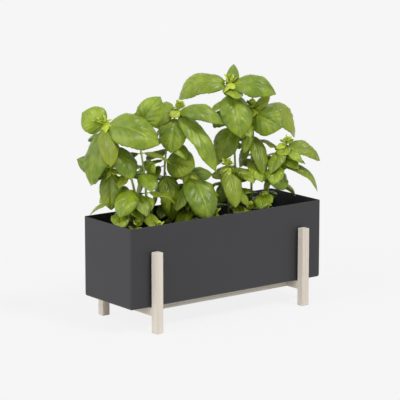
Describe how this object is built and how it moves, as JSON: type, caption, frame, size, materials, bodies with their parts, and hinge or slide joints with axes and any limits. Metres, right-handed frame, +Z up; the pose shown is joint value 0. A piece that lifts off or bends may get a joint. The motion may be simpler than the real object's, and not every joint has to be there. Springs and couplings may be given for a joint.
{
  "type": "indoor herb planter",
  "caption": "Long folded steel trough on a low wooden bar stand, with potted basil plants standing inside it.",
  "frame": {"origin": "on the floor, at the centre of the stand's four feet, which is under the centre of the trough", "axes": "+X along the trough to its right end, +Y to its back, +Z up"},
  "size_m": [0.4437, 0.1851, 0.4425],
  "materials": {
    "dark_steel": "matte",
    "ash_wood": "matte",
    "beech_dowel": "matte",
    "black_pot": "satin",
    "potting_soil": "matte",
    "basil_stem": "satin",
    "basil_leaf": "satin",
    "basil_young_leaf": "satin"
  },
  "bodies": {
    "stand": {"leg_front_left": "ash_wood", "leg_back_left": "ash_wood", "leg_front_right": "ash_wood", "leg_back_right": "ash_wood", "cross_rail_left": "ash_wood", "cross_rail_right": "ash_wood", "long_rail_front": "ash_wood", "long_rail_back": "ash_wood", "leg_dowels": "beech_dowel", "rail_dowels": "beech_dowel"},
    "trough": {"trough": "dark_steel"},
    "left_plant": {"pot_left": "black_pot", "soil_left": "potting_soil", "basil_left_stems": "basil_stem", "basil_left_leaves": "basil_leaf", "basil_left_inner_leaves": "basil_leaf", "basil_left_shoot_tips": "basil_young_leaf"},
    "middle_plant": {"pot_middle": "black_pot", "soil_middle": "potting_soil", "basil_middle_stems": "basil_stem", "basil_middle_leaves": "basil_leaf", "basil_middle_inner_leaves": "basil_leaf", "basil_middle_shoot_tips": "basil_young_leaf"},
    "right_plant": {"pot_right": "black_pot", "soil_right": "potting_soil", "basil_right_stems": "basil_stem", "basil_right_leaves": "basil_leaf", "basil_right_inner_leaves": "basil_leaf", "basil_right_shoot_tips": "basil_young_leaf"}
  },
  "joints": [
    {"name": "trough_lift", "type": "slide", "parent": "stand", "child": "trough", "axis": [0, 0, 1], "range_m": [0, 0.12]},
    {"name": "left_pot_lift", "type": "slide", "parent": "trough", "child": "left_plant", "axis": [0, 0, 1], "range_m": [0, 0.15]},
    {"name": "middle_pot_lift", "type": "slide", "parent": "trough", "child": "middle_plant", "axis": [0, 0, 1], "range_m": [0, 0.15]},
    {"name": "right_pot_lift", "type": "slide", "parent": "trough", "child": "right_plant", "axis": [0, 0, 1], "range_m": [0, 0.15]}
  ]
}
